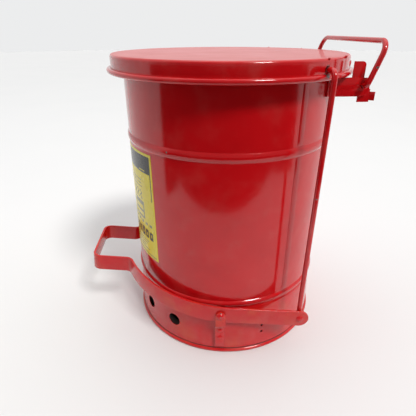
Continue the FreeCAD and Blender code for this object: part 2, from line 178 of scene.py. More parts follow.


# gloss powder coat: orange peel, rubbed streaks, dust, chips down to bare steel, painted orange reflections
# and painted shade in a fold; places and sizes in mm
def redPaint(name, seed, chips=(), scuffs=0.5, dust=0.15, orangeReflection=0.0, gloss=0.10,
             dustyAbove=None, creaseAt=None):
    f = Finish(name)
    mottle = f.noise(46, 3.0, seed)
    cloud = f.noise(120, 2.0, seed + 7)
    colour = f.blend(f.step(mottle, 0.35, 0.75), paintColours["red"], paintColours["deepRed"])
    rubbed = f.noise(9, 4.0, seed + 1, (1, 1, 0.14), 0.62)
    streak = f.step(rubbed, 0.66, 0.82) * f.step(cloud, 0.42, 0.62)
    scratch = f.noise(2.2, 2.0, seed + 2, (1, 1, 0.05))
    hair = f.step(scratch, 0.74, 0.80) * f.step(f.noise(60, 2.0, seed + 3), 0.55, 0.68)
    wear = f.limited((streak * 0.6 + hair) * scuffs)
    colour = f.blend(wear * 0.45, colour, paintColours["worn"])
    film = f.step(f.noise(26, 5.0, seed + 4), 0.45, 0.8) * dust
    colour = f.blend(film, colour, paintColours["dust"])
    # painted reflection: orange patches stand in for a yellow object mirrored in the gloss
    if orangeReflection:
        mirroredOrange = f.step(f.noise(34, 4.0, seed + 5), 0.44, 0.72) * orangeReflection
        colour = f.blend(mirroredOrange, colour, paintColours["orange"])
    roughness = gloss + 0.06 * mottle + 0.22 * wear + 0.30 * film
    if dustyAbove:  # a dull film on what faces up above this height
        settled = f.step(f.level(), dustyAbove * mm, (dustyAbove + 1.0) * mm) * (0.55 + 0.45 * mottle)
        colour = f.blend(settled * 0.10, colour, paintColours["dust"])
        roughness = roughness + settled * 0.30
    if creaseAt:  # painted shade: a dark line, broken up by noise, darkening the fold at this height
        away = f.maths("ABSOLUTE", f.level() - creaseAt * mm)
        shadeInFold = (1 - f.step(away, 0.4 * mm, 1.1 * mm)) * f.step(f.noise(30, 3.0, seed + 12), 0.25, 0.5)
        colour = f.blend(shadeInFold * 0.8, colour, paintColours["foldShadeColour"])
        roughness = roughness + shadeInFold * 0.3
    peel = f.noise(1.5, 1.5, seed + 8)
    flow = f.noise(14, 2.0, seed + 9)
    height = peel * 0.35 + flow
    metallic = None
    if chips:
        bare = None
        for index, (point, radius) in enumerate(chips):
            patch = f.near(point, radius, 0.35, seed + 20 + index)
            bare = patch if bare is None else f.most(bare, patch)
        grit = f.noise(1.2, 3.0, seed + 11)
        metal = f.blend(f.step(grit, 0.40, 0.62), paintColours["steel"], paintColours["primer"])
        colour = f.blend(bare, colour, metal)
        roughness = roughness * (1 - bare) + bare * (0.32 + 0.25 * grit)
        height = height - bare * 2.2
        metallic = bare * f.step(grit, 0.62, 0.40)
    return f.close(colour, roughness, f.bump(height, 0.10), paintCoat, metallic)


def insidePaint(name, seed):  # duller, with oily tide marks
    f = Finish(name)
    mottle = f.noise(40, 4.0, seed)
    colour = f.blend(f.step(mottle, 0.3, 0.75), paintColours["inside"], paintColours["insideDeep"])
    wander = (f.noise(60, 4.0, seed + 1) - 0.5) * (90 * mm)
    tide = 1 - f.step(f.level() + wander, 85 * mm, 150 * mm)
    colour = f.blend(tide * 0.75, colour, paintColours["oil"])
    drip = f.step(f.noise(7, 3.0, seed + 2, (1, 1, 0.06)), 0.62, 0.78)
    colour = f.blend(drip * 0.35, colour, paintColours["drip"])
    roughness = 0.42 - tide * 0.20 + 0.16 * mottle - drip * 0.12
    normal = f.bump(f.noise(1.6, 2.0, seed + 3) * 0.5 + mottle, 0.12)
    return f.close(colour, roughness, normal, {"IOR": 1.48})


def bareSteel(name, seed):  # zinc-plated fastener, lightly brushed and stained
    f = Finish(name)
    grain = f.noise(1.1, 3.0, seed, (1, 1, 0.25))
    stain = f.step(f.noise(5, 4.0, seed + 1), 0.50, 0.75)
    colour = f.blend(stain * 0.6, steelColours["clean"], steelColours["stained"])
    roughness = 0.28 + 0.22 * grain + 0.2 * stain
    normal = f.bump(grain, 0.03)
    return f.close(colour, roughness, normal, {"IOR": 2.2}, 0.95 - stain * 0.4)


def vinyl(name, seed, colour, faded):  # printed label film: slight fading, fine creases, dirt
    f = Finish(name)
    cloud = f.noise(35, 4.0, seed)
    shade = f.blend(f.step(cloud, 0.35, 0.75), colour, faded)
    speck = f.step(f.noise(1.6, 3.0, seed + 1), 0.72, 0.80)
    rub = f.step(f.noise(12, 5.0, seed + 2, (1, 1, 0.3)), 0.62, 0.8)
    shade = f.blend(speck * 0.35 + rub * 0.12, shade, vinylDirt)
    crease = f.noise(22, 2.0, seed + 3, (1, 1, 0.5))
    roughness = 0.22 + 0.10 * cloud + 0.18 * rub
    normal = f.bump(crease + f.noise(2.5, 2.0, seed + 4) * 0.12, 0.16)
    return f.close(shade, roughness, normal, vinylCoat)


class Recipe(Tree):  # a geometry node tree with named inputs
    def __init__(self, name, inputs):
        self.group = bpy.data.node_groups.new(name, "GeometryNodeTree")
        sockets = self.group.interface
        sockets.new_socket(name="Geometry", in_out="INPUT", socket_type="NodeSocketGeometry")
        for label, kind in inputs.items():
            sockets.new_socket(name=label, in_out="INPUT", socket_type="NodeSocket" + kind)
        sockets.new_socket(name="Geometry", in_out="OUTPUT", socket_type="NodeSocketGeometry")
        super().__init__(self.group)
        self.start = self.node("NodeGroupInput", {}, {}, "Geometry")

    def given(self, label):
        return self.start.twin(label)

    def finish(self, geometry):
        self.node("NodeGroupOutput", {}, {"Geometry": geometry})

    def make(self, name, base, values):  # runs the recipe on a base mesh, and returns a plain object
        holder = newObject(name + "Base", base)
        modifier = holder.modifiers.new("recipe", "NODES")
        modifier.node_group = self.group
        for item in self.group.interface.items_tree:
            if item.in_out == "INPUT" and item.name in values:
                modifier[item.identifier] = values[item.name]
        graph = bpy.context.evaluated_depsgraph_get()
        mesh = bpy.data.meshes.new_from_object(holder.evaluated_get(graph))
        mesh.name = name
        bpy.data.objects.remove(holder)
        return newObject(name, mesh)


def spinRecipe():  # turns an (r, z) outline about the can's axis, with the sheet's slight ripple
    t = Recipe("spinOutline", {
        "Segments": "Int", "Ripple": "Float", "Ripple size": "Float", "Upright": "Float",
        "Seed": "Float", "Inner row": "Float", "Paint": "Material", "Inside": "Material"})
    count = t.node("GeometryNodeAttributeDomainSize", {}, {0: t.start}, "Point Count")
    grid = t.node("GeometryNodeMeshGrid", {}, {"Size X": 1.0, "Size Y": 1.0, "Vertices Y": count,
                                               "Vertices X": t.given("Segments") + 1})
    here = t.node("GeometryNodeInputPosition")
    across = t.node("ShaderNodeSeparateXYZ", {}, {0: here}, "X")
    row = t.node("ShaderNodeMath", {"operation": "ROUND"}, {0: (across.twin("Y") + 0.5) * (count - 1)})
    outline = t.node("GeometryNodeSampleIndex", {"data_type": "FLOAT_VECTOR"},
                     {"Geometry": t.start, "Value": here, "Index": row})
    radius = t.node("ShaderNodeSeparateXYZ", {}, {0: outline}, "X")
    height = radius.twin("Z")
    turn = (across + 0.5) * (2 * math.pi)
    sine = t.maths("SINE", turn)
    cosine = t.maths("COSINE", turn)
    ring = t.maths("MINIMUM", radius, wallSizes["radius"] * mm)
    where = t.node("ShaderNodeCombineXYZ", {}, {"X": ring * sine, "Y": ring * cosine, "Z": height})
    wave = t.node("ShaderNodeTexNoise", {"noise_dimensions": "4D"},
                  {"Vector": where, "W": t.given("Seed"), "Detail": 1.0,
                   "Scale": 1 / t.given("Ripple size")})
    wave = (wave - 0.5) * 2 * t.given("Ripple")
    outward = radius + wave * (1 - t.given("Upright"))
    upward = height + wave * t.given("Upright")
    point = t.node("ShaderNodeCombineXYZ", {}, {"X": outward * sine, "Y": -1 * outward * cosine, "Z": upward})
    marked = t.node("GeometryNodeStoreNamedAttribute", {"data_type": "FLOAT", "domain": "POINT"},
                    {"Geometry": grid, "Name": "row", "Value": row})
    shaped = t.node("GeometryNodeSetPosition", {}, {"Geometry": marked, "Position": point})
    closed = t.node("GeometryNodeMergeByDistance", {}, {"Geometry": shaped, "Distance": 0.01 * mm})
    smooth = t.node("GeometryNodeSetShadeSmooth", {}, {"Geometry": closed})
    real = t.node("GeometryNodeRealizeInstances", {}, {"Geometry": smooth})
    painted = t.node("GeometryNodeSetMaterial", {}, {"Geometry": real, "Material": t.given("Paint")})
    stored = t.node("GeometryNodeInputNamedAttribute", {"data_type": "FLOAT"}, {"Name": "row"})
    lined = t.node("GeometryNodeSetMaterial", {},
                   {"Geometry": painted, "Selection": stored > t.given("Inner row"),
                    "Material": t.given("Inside")})
    t.finish(lined)
    return t


def headsRecipe():  # a domed head at every point, turned to the point's own outward direction
    t = Recipe("domedHeads", {"Head radius": "Float", "Head height": "Float", "Spread": "Float",
                              "Seed": "Int", "Paint": "Material"})
    ball = t.node("GeometryNodeMeshUVSphere", {}, {"Segments": 28, "Rings": 16, "Radius": 1.0})
    here = t.node("GeometryNodeInputPosition")
    split = t.node("ShaderNodeSeparateXYZ", {}, {0: here}, "X")
    # flat-bottomed, with a slight fillet of paint round its foot
    lift = t.most(split.twin("Z"), -0.12)
    flare = 1 + 0.10 * (lift < 0.06)
    shape = t.node("ShaderNodeCombineXYZ", {},
                   {"X": split * flare, "Y": split.twin("Y") * flare, "Z": lift})
    dome = t.node("GeometryNodeSetPosition", {}, {"Geometry": ball, "Position": shape})
    size = t.node("ShaderNodeCombineXYZ", {}, {"X": t.given("Head radius"), "Y": t.given("Head radius"),
                                               "Z": t.given("Head height")})
    dome = t.node("GeometryNodeTransform", {}, {"Geometry": dome, "Scale": size})
    outward = t.node("GeometryNodeInputNamedAttribute", {"data_type": "FLOAT_VECTOR"}, {"Name": "outward"})
    facing = t.node("FunctionNodeAlignRotationToVector", {"axis": "Z"}, {"Vector": outward})
    vary = t.node("FunctionNodeRandomValue", {"data_type": "FLOAT"},
                  {2: 1 - t.given("Spread"), 3: 1 + t.given("Spread"), "Seed": t.given("Seed")}, 1)
    placed = t.node("GeometryNodeInstanceOnPoints", {},
                    {"Points": t.start, "Instance": dome, "Rotation": facing, "Scale": vary})
    real = t.node("GeometryNodeRealizeInstances", {}, {"Geometry": placed})
    closed = t.node("GeometryNodeMergeByDistance", {}, {"Geometry": real, "Distance": 0.001 * mm})
    smooth = t.node("GeometryNodeSetShadeSmooth", {}, {"Geometry": closed})
    t.finish(t.node("GeometryNodeSetMaterial", {}, {"Geometry": smooth, "Material": t.given("Paint")}))
    return t


def wireRecipe():  # round bar along a path, as thick as the path's own "thin" values say
    t = Recipe("roundBar", {"Bar radius": "Float", "Sides": "Int", "Paint": "Material"})
    path = t.node("GeometryNodeMeshToCurve", {}, {"Mesh": t.start})
    ring = t.node("GeometryNodeCurvePrimitiveCircle", {"mode": "RADIUS"},
                  {"Resolution": t.given("Sides"), "Radius": t.given("Bar radius")})
    thin = t.node("GeometryNodeInputNamedAttribute", {"data_type": "FLOAT"}, {"Name": "thin"})
    swept = t.node("GeometryNodeCurveToMesh", {},
                   {"Curve": path, "Profile Curve": ring, "Scale": thin, "Fill Caps": True})
    smooth = t.node("GeometryNodeSetShadeSmooth", {}, {"Geometry": swept})
    real = t.node("GeometryNodeRealizeInstances", {}, {"Geometry": smooth})
    t.finish(t.node("GeometryNodeSetMaterial", {}, {"Geometry": real, "Material": t.given("Paint")}))
    return t


def polyline(points, values=None):  # a mesh of edges through points in mm, with point values
    mesh = bpy.data.meshes.new("line")
    edges = [(i, i + 1) for i in range(len(points) - 1)]
    mesh.from_pydata([Vector(p) * mm for p in points], edges, [])
    for name, (kind, data) in (values or {}).items():
        layer = mesh.attributes.new(name, kind, "POINT")
        for index, value in enumerate(data):
            if kind == "FLOAT":
                layer.data[index].value = value
            else:
                layer.data[index].vector = value
    return mesh


def arc(centre, radius, fromDegrees, toDegrees, steps):  # (r, z) points; 0 degrees is outwards, 90 up
    found = []
    for i in range(steps + 1):
        a = math.radians(fromDegrees + (toDegrees - fromDegrees) * i / steps)
        found.append((centre[0] + radius * math.cos(a), centre[1] + radius * math.sin(a)))
    return found


def run(start, end, spacing):  # (r, z) points after start, up to end
    length = math.dist(start, end)
    steps = max(1, round(length / spacing))
    return [tuple(start[k] + (end[k] - start[k]) * i / steps for k in (0, 1)) for i in range(1, steps + 1)]


def bead(radius, height, half, rise, steps):  # a swaged bead's (r, z) points, bottom to top
    found = []
    for i in range(steps + 1):
        u = -1 + 2 * i / steps
        found.append((radius + rise * (1 - u * u) ** 0.85, height + half * u))
    return found


def offset(path, gap):  # the line beside a line: gap to the right of its direction
    found = []
    for i, (r, z) in enumerate(path):
        before = path[max(i - 1, 0)]
        after = path[min(i + 1, len(path) - 1)]
        dr, dz = after[0] - before[0], after[1] - before[1]
        size = math.hypot(dr, dz)
        found.append((max(r + dz / size * gap, 0.0), z - dr / size * gap))
    return found


def meshOf(bm, name, *materials):  # the finished bmesh as a mesh
    mesh = bpy.data.meshes.new(name)
    bm.to_mesh(mesh)
    bm.free()
    for material in materials:
        mesh.materials.append(material)
    return mesh


def bake(piece):  # the piece's modifiers become its mesh
    graph = bpy.context.evaluated_depsgraph_get()
    done = bpy.data.meshes.new_from_object(piece.evaluated_get(graph))
    piece.modifiers.clear()
    piece.data = done


def tidy(mesh, sharpAngle=38):  # outward faces, smooth except at true corners
    bm = bmesh.new()
    bm.from_mesh(mesh)
    bmesh.ops.remove_doubles(bm, verts=bm.verts, dist=0.001 * mm)
    bmesh.ops.recalc_face_normals(bm, faces=bm.faces)
    for face in bm.faces:
        face.smooth = True
    bm.to_mesh(mesh)
    bm.free()
    mesh.set_sharp_from_angle(angle=math.radians(sharpAngle))


def drill(piece, start, end, radius, sides=40):  # cuts a round hole from start to end, in mm
    bm = bmesh.new()
    along = (Vector(end) - Vector(start)) * mm
    bmesh.ops.create_cone(bm, cap_ends=True, segments=sides, radius1=radius * mm, radius2=radius * mm,
                          depth=along.length)
    turn = along.to_track_quat("Z", "Y").to_matrix().to_4x4()
    middle = Matrix.Translation(Vector(start) * mm + along / 2)
    bmesh.ops.transform(bm, matrix=middle @ turn, verts=bm.verts)
    tool = newObject("drill", meshOf(bm, "drill", next(paint for paint in piece.data.materials if paint)))
    cut = piece.modifiers.new("hole", "BOOLEAN")
    cut.operation = "DIFFERENCE"
    cut.solver = "EXACT"
    cut.material_mode = "TRANSFER"
    cut.object = tool
    bake(piece)
    bpy.data.objects.remove(tool)


def press(mesh, centre, reach, depth, towards):  # a shallow knock in the sheet
    middle = Vector(centre) * mm
    for v in mesh.vertices:
        gap = (v.co - middle).length / (reach * mm)
        if gap < 2.5:
            v.co += Vector(towards).normalized() * depth * mm * math.exp(-gap * gap * 2)


def onWall(radius, degrees, z):  # a point at an angle from the front towards +X
    a = math.radians(degrees)
    return Vector((radius * math.sin(a), -radius * math.cos(a), z))


def settle(piece, body, nodes):  # rides on a body, in place of its CAD nodes
    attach(piece, body)
    if nodes:
        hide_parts(*nodes)


def newObject(name, mesh):
    made = bpy.data.objects.new(name, mesh)
    scene.collection.objects.link(made)
    return made


def copyOf(name, node, materials, roundness=0.3, sharpAngle=32):  # a CAD plate with its edges eased
    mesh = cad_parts[node].data.copy()
    mesh.name = name
    mesh.materials.clear()
    for material in materials:
        mesh.materials.append(material)
    bm = bmesh.new()
    bm.from_mesh(mesh)
    bmesh.ops.remove_doubles(bm, verts=bm.verts, dist=0.002 * mm)
    bmesh.ops.dissolve_limit(bm, angle_limit=math.radians(1.0), verts=bm.verts, edges=bm.edges)
    for face in bm.faces:
        face.smooth = True
        face.material_index = 0
    bm.to_mesh(mesh)
    bm.free()
    piece = newObject(name, mesh)
    ease = piece.modifiers.new("ease", "BEVEL")
    ease.width = roundness * mm
    ease.segments = 2
    ease.limit_method = "ANGLE"
    ease.angle_limit = math.radians(40)
    ease.miter_outer = "MITER_ARC"
    if len(materials) > 1:
        ease.material = 1
    bake(piece)
    piece.data.set_sharp_from_angle(angle=math.radians(sharpAngle))
    return piece


view = {  # metres, degrees, millimetres of lens
    "place": (0.51867, -0.05168, 0.43015),
    "turn": (63.829, 0.062, 86.969),
    "lens": 30.54,
    "sensor": 36,
    "shift": (-0.00665, -0.01137),
}
camera = newObject("camera", bpy.data.cameras.new("camera"))
camera.location = view["place"]
camera.rotation_euler = [math.radians(a) for a in view["turn"]]
camera.data.lens = view["lens"]
camera.data.sensor_width = view["sensor"]
camera.data.shift_x, camera.data.shift_y = view["shift"]
camera.data.clip_start = 0.01
scene.camera = camera
scene.view_settings.view_transform = "Standard"

studio = {  # metres, degrees and watts
    "bright": (0.84, 0.845, 0.85, 1), "dim": (0.20, 0.20, 0.205, 1), "turnsDim": (0.05, 0.45),
    "lamp": (1.0, 0.985, 0.96),
    "key": {"from": (1.08, 0.80, 1.70), "spread": 14.0, "strength": 2.05},
    "overhead": {"from": (-0.2, 0.1, 2.2), "size": 1.8, "power": 8.0},
    "floorRadius": 9.0, "pale": (0.80, 0.80, 0.80, 1), "paler": (0.77, 0.775, 0.78, 1),
    # painted shadow: the floor inside the base's ring, seen through the vents, is made dark
    "underCan": (0.112, 0.120), "paintedShadowColour": (0.012, 0.010, 0.009, 1),
    # dark ground past the table's near edge, seen only in reflections and bounced light
    "cloth": [(0.21, -0.60), (0.42, -1.80), (1.40, -7.0), (8.0, -7.0), (8.0, 7.0), (3.0, 7.0), (0.87, 2.18),
              (0.36, 0.78), (0.654, 0.555), (0.57, -0.08), (0.45, -0.618)],
    "clothHeight": 0.001, "darker": (0.010, 0.010, 0.010, 1), "dark": (0.016, 0.015, 0.015, 1),
}


def setStudio():
    world = bpy.data.worlds.new("studio")
    world.use_nodes = True
    t = Tree(world.node_tree)
    world.node_tree.nodes.clear()
    # pale walls behind the object, a dimmer room behind the camera
    way = t.node("ShaderNodeSeparateXYZ", {}, {0: t.node("ShaderNodeTexCoord", out="Generated")}, "X")
    low, high = studio["turnsDim"]
    seen = t.node("ShaderNodeLightPath", out="Is Camera Ray")
    colour = t.node("ShaderNodeMix", {"data_type": "RGBA"},
                    {0: t.step(way, low, high) * (1 - seen), 6: studio["bright"], 7: studio["dim"]}, 2)
    back = t.node("ShaderNodeBackground", {}, {"Color": colour, "Strength": 1.0})
    t.node("ShaderNodeOutputWorld", {}, {"Surface": back})
    scene.world = world
    for name, kind in (("key", "SUN"), ("overhead", "AREA")):
        lamp = bpy.data.lights.new(name, kind)
        own = studio[name]
        lamp.color = studio["lamp"]
        if kind == "SUN":
            lamp.angle = math.radians(own["spread"])
            lamp.energy = own["strength"]
        else:
            lamp.size = own["size"]
            lamp.energy = own["power"]
        holder = newObject(name, lamp)
        holder.location = own["from"]
        holder.rotation_euler = (-Vector(own["from"])).to_track_quat("-Z", "Y").to_euler()


def paleFloor():
    f = Finish("paleFloor")
    tone = f.noise(300, 3.0, 2.0)
    colour = f.blend(tone, studio["pale"], studio["paler"])
    fromAxis = f.node("ShaderNodeVectorMath", {"operation": "LENGTH"}, {0: f.place}, "Value")
    near, far = studio["underCan"]
    colour = f.blend(f.step(fromAxis, near, far), studio["paintedShadowColour"], colour)  # painted shadow: the floor under the can made near black
    material = f.close(colour, 0.42 + 0.1 * tone, f.bump(f.noise(4, 2.0, 1.0), 0.05), {"IOR": 1.4})
    bm = bmesh.new()
    bmesh.ops.create_circle(bm, cap_ends=True, segments=96, radius=studio["floorRadius"])
    newObject("floor", meshOf(bm, "floor", material))


def darkCloth():  # solid from above, clear from below
    f = Finish("darkCloth")
    tone = f.blend(f.noise(400), studio["darker"], studio["dark"])
    cloth = f.node("ShaderNodeBsdfPrincipled", {},
                   {"Base Color": tone, "Roughness": 1.0, "Specular IOR Level": 0.0})
    clear = f.node("ShaderNodeBsdfTransparent")
    under = f.node("ShaderNodeNewGeometry", out="Backfacing")
    f.node("ShaderNodeOutputMaterial", {},
           {"Surface": f.node("ShaderNodeMixShader", {}, {0: under, 1: cloth, 2: clear})})
    mesh = bpy.data.meshes.new("cloth")
    outline = studio["cloth"]
    corners = [(x, y, studio["clothHeight"]) for x, y in outline]
    mesh.from_pydata(corners, [], [tuple(range(len(corners)))])
    mesh.materials.append(f.material)
    cloth = newObject("cloth", mesh)
    cloth.visible_camera = False
    cloth.visible_shadow = False


setStudio()
paleFloor()
darkCloth()
print("studio set")

wallSizes = {
    "radius": 142.5, "sheet": 0.8, "footZ": 82.0, "ribZ": 88.5, "ribHalf": 4.5, "ribRise": 2.4,
    "swageZ": 300.0, "swageHalf": 6.0, "swageRise": 2.0, "topZ": 402.2, "roll": 3.0,
    "segments": 288, "ripple": 0.11, "rippleSize": 62.0,
    # small dents: degrees from the front, height, reach, depth
    "dents": [(88, 205, 9, 0.35), (60, 330, 6, 0.25), (-75, 250, 12, 0.45), (200, 180, 10, 0.40)],
}


def wallOutline():
    s = wallSizes
    r = s["radius"]
    rollZ = s["topZ"] - s["roll"] - s["sheet"]
    path = [(r, s["footZ"])]
    path += run(path[-1], (r, s["ribZ"] - s["ribHalf"]), 2.0)
    path += bead(r, s["ribZ"], s["ribHalf"], s["ribRise"], 14)[1:]
    path += run(path[-1], (r, path[-1][1] + 1.0), 0.5)
    path += run(path[-1], (r, s["swageZ"] - s["swageHalf"] - 1.0), 9.0)
    path += run(path[-1], (r, s["swageZ"] - s["swageHalf"]), 0.5)
    path += bead(r, s["swageZ"], s["swageHalf"], s["swageRise"], 16)[1:]
    path += run(path[-1], (r, path[-1][1] + 1.0), 0.5)
    path += run(path[-1], (r, rollZ), 9.0)
    path += arc((r + s["roll"], rollZ), s["roll"], 180, -48, 22)[1:]
    return path


def spun(name, outline, innerRow, sizes, paint, inside, seed, upright=0.0):
    base = polyline([(r, 0, z) for r, z in outline])
    piece = spin.make(name, base, {
        "Segments": sizes["segments"], "Ripple": sizes["ripple"] * mm,
        "Ripple size": sizes["rippleSize"] * mm, "Upright": upright, "Seed": seed,
        "Inner row": innerRow - 0.5, "Paint": paint, "Inside": inside})
    tidy(piece.data)
    return piece


spin = spinRecipe()
bodyPaint = redPaint("bodyPaint", 11.0, chips=[((118.6, -83.0, 301.0), 1.3)], scuffs=0.45, dust=0.05)
innerPaint = insidePaint("innerPaint", 31.0)
outline = wallOutline()
innerRow = len(outline)
outline += reversed(offset(outline, -wallSizes["sheet"]))
bodyWall = spun("bodyWall", outline + outline[:1], innerRow, wallSizes, bodyPaint, innerPaint, 4.0)
for degrees, height, reach, depth in wallSizes["dents"]:
    press(bodyWall.data, onWall(wallSizes["radius"], degrees, height), reach, depth, onWall(-1, degrees, 0))
settle(bodyWall, "can", ["body_shell"])
print("body wall", len(bodyWall.data.polygons))

seamSizes = {
    "rise": 0.55, "degrees": (119.8, 123.4), "fade": 3.0, "rows": 40,
    "heights": {"lowerSeam": (94.5, 293.0), "upperSeam": (307.0, 392.0)},
    # the strip's section: share of its width, share of its rise
    "section": [(-0.5, -0.3), (-0.5, 0.4), (-0.36, 0.92), (0.0, 1.0), (0.36, 0.92), (0.5, 0.4), (0.5, -0.3)],
}


def seamStrip(name, low, high, paint):  # the lock seam's raised face, sinking into the wall at both ends
    s = seamSizes
    left, right = s["degrees"]
    bm = bmesh.new()
    grid = []
    for i in range(s["rows"] + 1):
        share = i / s["rows"]
        fade = min(1.0, min(share, 1 - share) * (high - low) / s["fade"])
        row = []
        for across, up in s["section"]:
            radius = wallSizes["radius"] + s["rise"] * (up if up < 0 else up * fade)
            angle = left + (right - left) * (across + 0.5)
            row.append(bm.verts.new(onWall(radius, angle, low + (high - low) * share) * mm))
        grid.append(row)
    for lower, upper in zip(grid, grid[1:]):
        for j in range(len(lower)):
            k = (j + 1) % len(lower)
            bm.faces.new((lower[j], lower[k], upper[k], upper[j]))
    bm.faces.new(grid[0])
    bm.faces.new(list(reversed(grid[-1])))
    mesh = meshOf(bm, name, paint)
    tidy(mesh)
    return newObject(name, mesh)


for name, (low, high) in seamSizes["heights"].items():
    settle(seamStrip(name, low, high, bodyPaint), "can", [])

baseSizes = {
    "topR": 141.65, "topZ": 96.5, "skirtTopR": 143.1, "skirtFootR": 145.2, "sheet": 0.8,
    "hemR": 3.2, "hemX": 144.6, "hemZ": 2.95, "segments": 288, "ripple": 0.05, "rippleSize": 55.0,
    "foldZ": 81.6, "footFoldZ": 7.6, "ventZ": 39.0, "ventR": 10.0, "vents": (31.0, 53.5),
    "spareZ": (30.0, 42.0), "spareAngle": 107.3, "spareR": 2.0, "cutFrom": 125, "cutTo": 165,
}


def baseOutline():
    s = baseSizes
    path = [(s["topR"], s["topZ"])]
    path += run(path[-1], (s["topR"], s["foldZ"]), 4.0)
    path += run(path[-1], (s["topR"] + 0.2, s["foldZ"] - 0.6), 0.5)
    path += run(path[-1], (s["skirtTopR"], s["foldZ"] - 3.0), 0.8)
    path += run(path[-1], (s["skirtTopR"] + 0.15, s["foldZ"] - 4.0), 0.6)
    path += run(path[-1], (s["skirtFootR"], s["footFoldZ"]), 7.0)
    path += run(path[-1], (s["skirtFootR"] - 0.9, s["footFoldZ"] - 1.2), 0.4)  # the crease above the hem
    path += arc((s["hemX"], s["hemZ"]), s["hemR"], 72, -85, 20)
    path += run(path[-1], (s["hemX"] - 0.3, 0.0), 0.5)
    path += arc((s["hemX"], s["hemZ"]), s["hemR"], 262, 180, 8)
    footR, skirtTopR, topR = (s[key] - s["sheet"] for key in ("skirtFootR", "skirtTopR", "topR"))
    inner = [(footR - 2.0, 4.5), (footR - 0.1, 9.0)]
    inner += run(inner[-1], (skirtTopR, s["foldZ"] - 4.2), 14.0)
    inner += run(inner[-1], (topR, s["foldZ"] - 0.6), 2.0)
    inner += run(inner[-1], (topR, s["topZ"]), 8.0)
    return path, inner


# its dark line at the hem fold is painted shade
# its orange patches are painted reflection
basePaint = redPaint("basePaint", 23.0, scuffs=0.55, dust=0.10, orangeReflection=0.25, creaseAt=6.7)
outer, inner = baseOutline()
outline = [(r, max(z, 0.0)) for r, z in outer + inner + outer[:1]]
baseSkirt = spun("baseSkirt", outline, len(outer), baseSizes, basePaint, innerPaint, 9.0)
s = baseSizes
holes = [(angle, s["ventZ"], s["ventR"], 56) for angle in s["vents"]]
holes += [(s["spareAngle"], z, s["spareR"], 24) for z in s["spareZ"]]
for side in (-1, 1):
    for angle, z, radius, sides in holes:
        drill(baseSkirt, onWall(s["cutFrom"], side * angle, z), onWall(s["cutTo"], side * angle, z),
              radius, sides)
tidy(baseSkirt.data)
settle(baseSkirt, "can", ["base_ring"])
print("base", len(baseSkirt.data.polygons))

panSizes = {
    "rim": 140.75, "z": 60.0, "flange": 10.0, "bend": 4.0, "sheet": 0.8, "crown": 2.5, "slopeFrom": 22.0,
    "slopeTo": 30.0, "segments": 192, "ripple": 0.25, "rippleSize": 70.0,
}


def panOutline():
    s = panSizes
    path = [(s["rim"], s["z"] - s["flange"])]
    path += run(path[-1], (s["rim"], s["z"] - s["bend"]), 3.0)
    path += arc((s["rim"] - s["bend"], s["z"] - s["bend"]), s["bend"], 0, 90, 7)[1:]
    path += run(path[-1], (s["rim"] - s["slopeFrom"], s["z"]), 5.0)
    path += run(path[-1], (s["slopeTo"], s["z"] + s["crown"]), 7.0)
    path += run(path[-1], (0.0, s["z"] + s["crown"]), 7.0)
    inner = list(reversed(offset(path, -s["sheet"])))
    inner[0] = (0.0, inner[0][1])
    return path + inner + path[:1]


outline = panOutline()
bottomPan = spun("bottomPan", outline, len(outline) + 1, panSizes, innerPaint, innerPaint, 15.0, 1.0)
settle(bottomPan, "can", ["bottom_plate"])

# a plain label without lettering; across in degrees, up in mm
labelSizes = {
    "radius": 142.75, "lift": 0.30, "low": 129.0, "high": 290.0, "half": 42.7, "border": 3.6,
    "columns": 168, "rows": 150, "headerLow": 262.0,
    "headerTicks": (30.0, 36.0, 264.5, 265.7), "headerBars": ((277.0, 15.0), (270.0, 12.0)), "barTall": 4.0,
    "sideLow": 224.0, "sideWide": 0.7, "rule": 1.3,
    "blocks": 8, "blockStep": 4.7,
    "upperRules": (248.0, 243.0, 238.0), "upperReach": 31.0,
    "lowerRules": 4, "lowerFrom": 153.5, "lowerStep": 4.6, "lowerReach": 34.0,
    # drums in mm from their middle: half width, foot, top; a hoop; wavy fumes above
    "drumX": 62.0, "drumZ": 203.0, "drum": (17.0, -14.0, 13.0), "hollow": (13.5, -11.0, 6.0),
    "hoop": (-3.0, 1.5), "fumes": (-10.0, 0.0, 10.0), "fumeLow": 16.0, "fumeHigh": 30.0,
    "fumeSway": 2.0, "fumeWaves": 0.8, "fumeHalf": 1.7,
}


def labelRegions():  # (left, right, low, high, ink); later ones lie on earlier ones
    s = labelSizes
    edge = math.degrees(s["border"] / s["radius"])
    left, right = -s["half"] + edge, s["half"] - edge
    found = [(left, right, s["headerLow"], s["high"] - s["border"], "black")]
    near, far, low, high = s["headerTicks"]
    found += [(-far, -near, low, high, "yellow"), (near, far, low, high, "yellow")]
    for low, reach in s["headerBars"]:
        found.append((-reach, reach, low, low + s["barTall"], "yellow"))
    for edgeAt in (left, right - s["sideWide"]):
        found.append((edgeAt, edgeAt + s["sideWide"], s["sideLow"], s["headerLow"], "black"))
    low = s["low"] + s["border"]
    found.append((left, right, low, low + s["rule"], "black"))
    for index in range(-s["blocks"], s["blocks"] + 1):  # a row of broad blocks, small ones above
        middle = index * s["blockStep"]
        found.append((middle - 1.7, middle + 1.7, 160.0 + index % 2, 175.0 - index % 3, "black"))
        found.append((middle - 0.4, middle + 0.5, 164.5, 169.5, "yellow"))
        found.append((middle - 1.2, middle + 1.5, 181.5, 185.5, "grey"))
    for index in range(s["lowerRules"]):
        low = s["lowerFrom"] - index * s["lowerStep"]
        reach = s["lowerReach"] - 2.0 * (index % 3)
        found.append((-reach, reach, low, low + s["rule"], "grey"))
    for low in s["upperRules"]:
        found.append((-s["upperReach"], s["upperReach"], low, low + s["rule"], "grey"))
    return found


